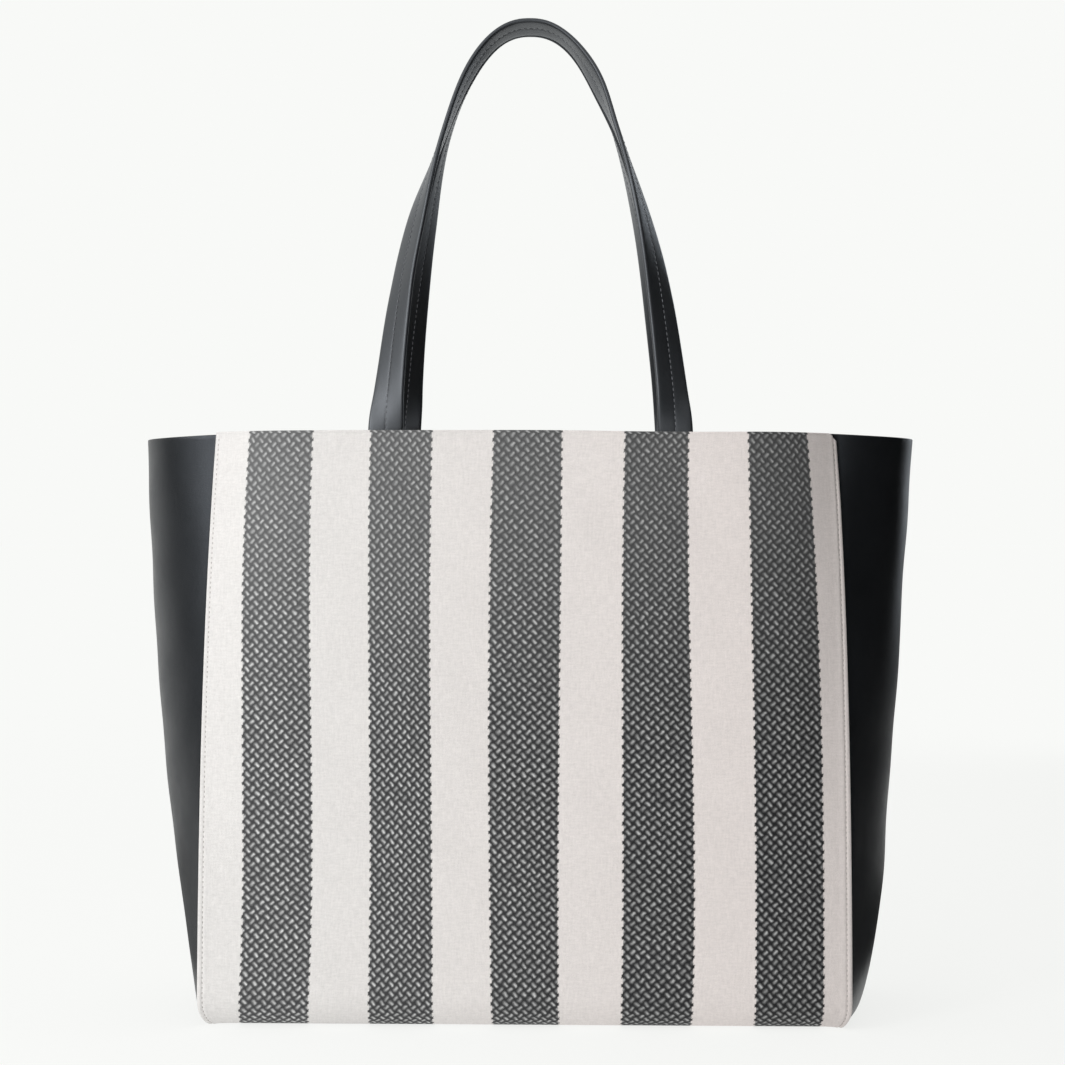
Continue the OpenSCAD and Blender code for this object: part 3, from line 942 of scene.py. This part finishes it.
def pocket():
    """The slip pocket with its slack mouth, and its stitches."""
    xs = np.linspace(pk_lo[0], pk_hi[0], 60)
    zs = np.linspace(pk_hi[2], pk_lo[2], 44)
    X, Z = np.meshgrid(xs, zs)
    k = (X - pk_lo[0]) / (pk_hi[0] - pk_lo[0])
    h = (Z - pk_lo[2]) / (pk_hi[2] - pk_lo[2])
    slack = 0.010 * smooth((h - 0.3) / 0.7) * np.sin(pi * k) ** 0.8
    slack += 0.0012 * (1 + ripple(X, Z, 71, 0.05)) * np.sin(pi * k) * smooth(h / 0.2)
    Y = pk_hi[1] - 0.0012 - slack
    dip = 0.004 * np.sin(pi * k) ** 2 * smooth((h - 0.5) / 0.5)
    P = np.stack([X, Y, Z - dip], 2)
    M = normals(P)
    hem = smooth((h - 0.88) / 0.02) * 0.0004
    P = P + M * hem[..., None]
    obj = closed_sheet("slip_pocket", P, M, 0.0006 + hem, X, pk_hi[2] - Z, LINING,
                       round_first=True, round_last=True)
    edge = [(i, 2) for i in range(44)] + [(41, j) for j in range(3, 57)] + [(i, 57) for i in range(43, -1, -1)]
    path = np.array([P[i, j] for i, j in edge])
    ups = np.array([M[i, j] for i, j in edge])
    threads = stitch_row("pocket_stitches", path, np.gradient(path, axis=0), ups, CREAM_THREAD, pitch=0.003,
                         length=0.0023, radius=0.0002, rise=0.0001)
    return obj, threads


slip_pocket, pocket_threads = pocket()


# -------- handles
LOOP = 0.255  # length of a loop above the fold line, along its lean
LOOP_LEAN = radians(14.7)
STRAP_BACK = 0.00355  # distance of the strap's middle behind the fold line


def hump(t, middle, reach):
    """A smooth rise and fall about a middle value."""
    return smooth(1 - np.abs(t - middle) / reach)


def strap_path(drift_foot, drift_top, bows, turns, splay):
    """The strap's middle line, its width direction and its face direction, from one tab round to the other."""
    turn = np.radians(np.linspace(0.0, 180.0, 2401))
    x = -SPACING / 2 * np.sign(np.cos(turn)) * np.abs(np.cos(turn)) ** (2 / 2.3)
    h = LOOP * np.abs(np.sin(turn)) ** (2 / 1.33)
    tab = np.linspace(-TAB, -0.0005, 80)
    x = np.concatenate([np.full(80, -SPACING / 2), x, np.full(80, SPACING / 2)])
    h = np.concatenate([tab, h, tab[::-1]])
    step = np.hypot(np.diff(x), np.diff(h))
    keep = np.concatenate([[True], step > 1e-7])
    x, h = x[keep], h[keep]
    s = summed(np.hypot(np.diff(x), np.diff(h)))
    even = np.linspace(0, s[-1], int(s[-1] / 0.0020))
    x, h = np.interp(even, s, x), np.interp(even, s, h)
    t2 = np.stack([np.gradient(x), np.gradient(h)], 1)
    t2 /= np.linalg.norm(t2, axis=1, keepdims=True)
    out2 = np.stack([-t2[:, 1], t2[:, 0]], 1)
    rise = np.clip(h / LOOP, 0, 1)
    twist = pi / 2 * (1 - (1 - rise) ** 2.2)
    twist = twist - radians(9) * hump(rise, 0.40, 0.36)
    for side, middle, reach, degrees in turns:
        more = radians(degrees) * hump(rise, middle, reach)
        twist = twist + more * smooth(side * x / 0.02) * smooth(h / 0.010)
    twist = twist + splay * smooth((h - 0.004) / 0.022) * (1 - smooth((rise - 0.04) / 0.28))
    for side, low, high in bows:
        leg = smooth(side * x / 0.02)
        x = x + side * leg * (low * hump(rise, 0.42, 0.34) + high * hump(rise, 0.74, 0.22))
    # lean: none on the facing, full from a little above the rim
    hs = np.linspace(-TAB, LOOP + 0.002, 1500)
    lean = LOOP_LEAN * smooth((hs + 0.009) / 0.033)
    ys = summed(np.sin(lean[:-1]) * np.diff(hs))
    zs = summed(np.cos(lean[:-1]) * np.diff(hs)) - TAB
    lean_h = np.interp(h, hs, lean)
    mid_y = -FOLD_Y + np.interp(h, hs, ys)
    mid_z = FOLD_Z + np.interp(h, hs, zs)
    cl, sl = np.cos(lean_h), np.sin(lean_h)
    up = np.stack([0 * h, sl, cl], 1)            # up the loop's plane
    face = np.stack([0 * h, -cl, sl], 1)         # out of the plane, to the front
    side = np.array([1.0, 0.0, 0.0])
    drift = drift_foot + (drift_top - drift_foot) * rise
    C = np.stack([x + drift, mid_y, mid_z], 1) - face * STRAP_BACK
    out = out2[:, :1] * side + out2[:, 1:] * up
    W = out * np.cos(twist)[:, None] - face * np.sin(twist)[:, None]
    N = out * np.sin(twist)[:, None] + face * np.cos(twist)[:, None]
    return C, W, N, even, h


def strap_profile():
    """Ring of the strap's section: flat faces, a shallow stitched groove, and rounded painted edges."""
    top = [(9.80, 0.80), (9.50, 1.12), (9.05, 1.34), (8.3, 1.47), (6.6, 1.56), (4.4, 1.60), (2.4, 1.59),
           (1.2, 1.56), (0.75, 1.53), (0.38, 1.46), (0.0, 1.43)]
    top = top + [(-x, y) for x, y in top[-2::-1]]
    edge = [(-9.97, 0.40), (-9.90, 0.0), (-9.97, -0.40)]
    under = [(x, -y) for x, y in top[::-1]]
    return np.array(top + edge + under + [(-x, y) for x, y in edge[::-1]]) / 1000


def handle(name, drift_foot, drift_top, seed, bows, turns, splay=0.0):
    """A front handle's strap with its sewn ends, and its stitches."""
    C, W, N, s, h = strap_path(drift_foot, drift_top, bows, turns, splay)
    profile = strap_profile()
    # the ends are rounded, and every dimension varies a little
    end = np.minimum(s, s[-1] - s)
    width = np.sqrt(np.clip(1 - np.clip(1 - end / STRAP_HALF, 0, 1) ** 2, 0.02, 1))
    wide = width * (1 + 0.012 * ripple(s, 0 * s, seed, 0.09))
    thick = (1 + 0.035 * ripple(s, 0 * s, seed + 1, 0.05)) * np.sqrt(np.clip(end / 0.0006, 0.15, 1))
    free = smooth(h / 0.05)
    C = C + N * (0.0004 * ripple(s, 0 * s, seed + 2, 0.11) * free)[:, None]
    roll = 0.05 * ripple(s, 0 * s, seed + 3, 0.16) * free
    W2 = W * np.cos(roll)[:, None] + N * np.sin(roll)[:, None]
    N2 = N * np.cos(roll)[:, None] - W * np.sin(roll)[:, None]
    rings = [C + W2 * (x * wide)[:, None] + N2 * (y * thick)[:, None] for x, y in profile]
    rings = np.stack(rings, 1)
    uvs = np.stack([np.tile(profile[:, 0], (len(s), 1)), np.tile(s[:, None], (1, len(profile)))], 2)
    # turned so that the closing bands pair the top with the underside
    strap = ring_mesh(name, np.roll(rings, 1, axis=1), np.roll(uvs, 1, axis=1), STRAP)
    T = np.gradient(C, axis=0)
    inner = slice(6, -6)
    lines = [stitch_row(f"{name}_{face}", (C + N2 * side * 0.00142)[inner], T[inner], N2[inner] * side,
                        STRAP_THREAD, pitch=0.0034, length=0.0023, radius=0.00025, rise=0.00016)
             for face, side in (("top", 1), ("under", -1))]
    # each tab is sewn down round its edge
    tabs = []
    first_end, last_end = int(np.argmax(h > -0.008)), int(np.argmax(h[::-1] > -0.008))
    for k, (i0, i1) in enumerate(((0, first_end), (len(h) - last_end, len(h)))):
        part = slice(i0, i1)
        e = end[part]
        w = np.clip(width[part] * STRAP_HALF - 0.0019, 0.0004, None)
        ok = e > 0.0022
        left = (C[part] + W2[part] * w[:, None] - N2[part] * 0.0014)[ok]
        right = (C[part] - W2[part] * w[:, None] - N2[part] * 0.0014)[ok]
        path = np.concatenate([left, right[::-1]] if k else [left[::-1], right])
        ups = np.tile(-N2[part][0], (len(path), 1))
        tabs.append(stitch_row(f"{name}_tab{k}", path, np.gradient(path, axis=0), ups, DARK_THREAD,
                               pitch=0.0034, length=0.0027, radius=0.00026, rise=0.00018))
    threads = joined(f"{name}_stitches", lines + tabs)
    return strap, threads


# how far each leg bows outwards, low and high: side, low, high
FRONT_BOWS = ((-1, 0.0013, -0.0012), (1, 0.0006, 0.0))
BACK_BOWS = ((1, 0.0006, 0.0022), (-1, 0.0, 0.0))
# where a leg turns further than its twin: side, middle and reach of the stretch as parts of the height, degrees
FRONT_TURNS = ((1, 0.86, 0.13, 12), (-1, 0.86, 0.13, 2), (-1, 0.53, 0.19, -9))
BACK_TURNS = ((-1, 0.86, 0.13, 12), (1, 0.86, 0.13, 2), (1, 0.05, 0.09, -12))
front_handle, front_handle_threads = handle("front_handle_strap", 0.0038, 0.0014, 81, FRONT_BOWS,
                                            FRONT_TURNS, splay=radians(9))
back_handle, back_handle_threads = handle("back_handle_strap", -0.0034, -0.0012, 91, BACK_BOWS, BACK_TURNS)
to_back(back_handle, back_handle_threads)

# -------- hidden CAD parts, and the bag's body for the pieces
STANDS_FOR = (
    (front_canvas, "front_canvas"), (back_canvas, "back_canvas"),
    (right_gusset, "right_gusset"), (left_gusset, "left_gusset"), (base_leather, "base_panel"),
    (front_facing, "front_facing"), (back_facing, "back_facing"),
    (right_rim, "right_rim_facing"), (left_rim, "left_rim_facing"))
for piece, node in STANDS_FOR:
    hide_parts(node)
for side, piece in lining_set.items():
    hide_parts(f"lining_{side}")
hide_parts("lining_base")
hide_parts("inner_pocket")
for end, strap in (("front", front_handle), ("back", back_handle)):
    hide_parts(f"{end}_strap_outer", f"{end}_strap_core", f"{end}_strap_inner",
                f"{end}_left_tab", f"{end}_right_tab")

SLOTS = {
    "canvas": (front_canvas, back_canvas, front_threads, back_threads),
    "leather": (right_gusset, left_gusset, base_leather, front_facing, back_facing, right_rim, left_rim,
                base_threads, facing_threads),
    "strap_leather": (front_handle, back_handle, front_handle_threads, back_handle_threads),
    "lining": (*lining_set.values(), lining_floor, slip_pocket, pocket_threads),
}
for slot, members in SLOTS.items():
    for piece in members:
        if slot != "strap_leather":
            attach(piece, "bag")

for end, sign, members in (("front", -1, (front_handle, front_handle_threads)),
                           ("back", 1, (back_handle, back_handle_threads))):
    for piece in members:
        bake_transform(piece)

board = frame["nodes"]["base_board"]
board.data.materials.clear()
board.data.materials.append(BOARD)

# -------- studio
BACKGROUND = (0.940, 0.948, 0.931)


def stage_piece(name, corners, colour, glow=0.0, seen=True):
    """A flat studio surface, which may glow with the background's colour."""
    obj = add_mesh(name, corners, [tuple(range(len(corners)))])
    g = Graph(f"{name}_surface")
    if glow:
        g.shader.inputs["Emission Color"].default_value = rgb(*BACKGROUND)
        g.shader.inputs["Emission Strength"].default_value = glow
    obj.data.materials.append(g.finish(rgb(*colour), 0.9, Specular_IOR_Level=0.0))
    obj.visible_camera = seen
    return obj


def card(name, a, b, height, grey=0.012):
    """A tall card on the floor from a to b, out of the camera's sight."""
    return stage_piece(name, [(*a, 0), (*b, 0), (*b, height), (*a, height)], (grey,) * 3, seen=False)


def floor_card(name, lo, hi, grey):
    """A card on the floor that only reflections show."""
    corners = [(lo[0], lo[1], 0.001), (hi[0], lo[1], 0.001), (hi[0], hi[1], 0.001), (lo[0], hi[1], 0.001)]
    obj = stage_piece(name, corners, (grey,) * 3, seen=False)
    obj.visible_diffuse = obj.visible_shadow = False


FLOOR_GREY = 0.14  # the floor's own reflectance; it glows to make up the rest
stage_piece("floor", [(-60, -60, 0), (60, -60, 0), (60, 60, 0), (-60, 60, 0)], (FLOOR_GREY,) * 3, 1 - FLOOR_GREY)
card("card_right_front", (0.24, -2.0), (0.85, -0.9), 1.3)
card("card_right", (0.85, -0.9), (1.0, 1.2), 1.3)
card("card_right_back", (0.78, 1.9), (1.0, 1.2), 1.3)
card("card_left", (-1.20, -0.55), (-1.20, 0.20), 0.9, 0.48)
floor_card("floor_card_right", (0.26, -0.50), (0.80, 0.60), 0.03)
floor_card("floor_card_left", (-0.80, -0.50), (-0.26, 0.60), 0.25)

world = bpy.data.worlds.new("studio")
bpy.context.scene.world = world
world.use_nodes = True
backdrop = world.node_tree.nodes["Background"].inputs
backdrop["Color"].default_value = rgb(*BACKGROUND)
backdrop["Strength"].default_value = 1.0


def area_light(name, place, aim, size, power, colour=(1.0, 1.0, 1.0), spread=pi):
    """A rectangular light at a place, aimed at a point."""
    data = bpy.data.lights.new(name, "AREA")
    data.shape = "RECTANGLE"
    data.size, data.size_y = size
    data.energy = power
    data.color = colour
    data.spread = spread
    obj = bpy.data.objects.new(name, data)
    obj.location = place
    obj.visible_camera = False
    look_along(obj, [b - a for a, b in zip(place, aim)])
    bpy.context.scene.collection.objects.link(obj)
    return obj


area_light("key", (-0.95, -1.40, 1.10), (0, 0, 0.25), (0.55, 0.70), 11.0)
area_light("front", (-0.45, -1.75, 0.95), (0, 0, 0.4), (0.35, 0.5), 3.0)
area_light("rim", (0.80, 0.95, 0.60), (0.2, 0, 0.35), (0.25, 0.8), 0.22, (0.88, 0.94, 1.0), 1.2)
sheen = area_light("sheen", (-1.50, -0.87, 1.45), (-0.08, -0.05, 0.45), (0.5, 0.6), 11.0)
sheen.visible_diffuse = False
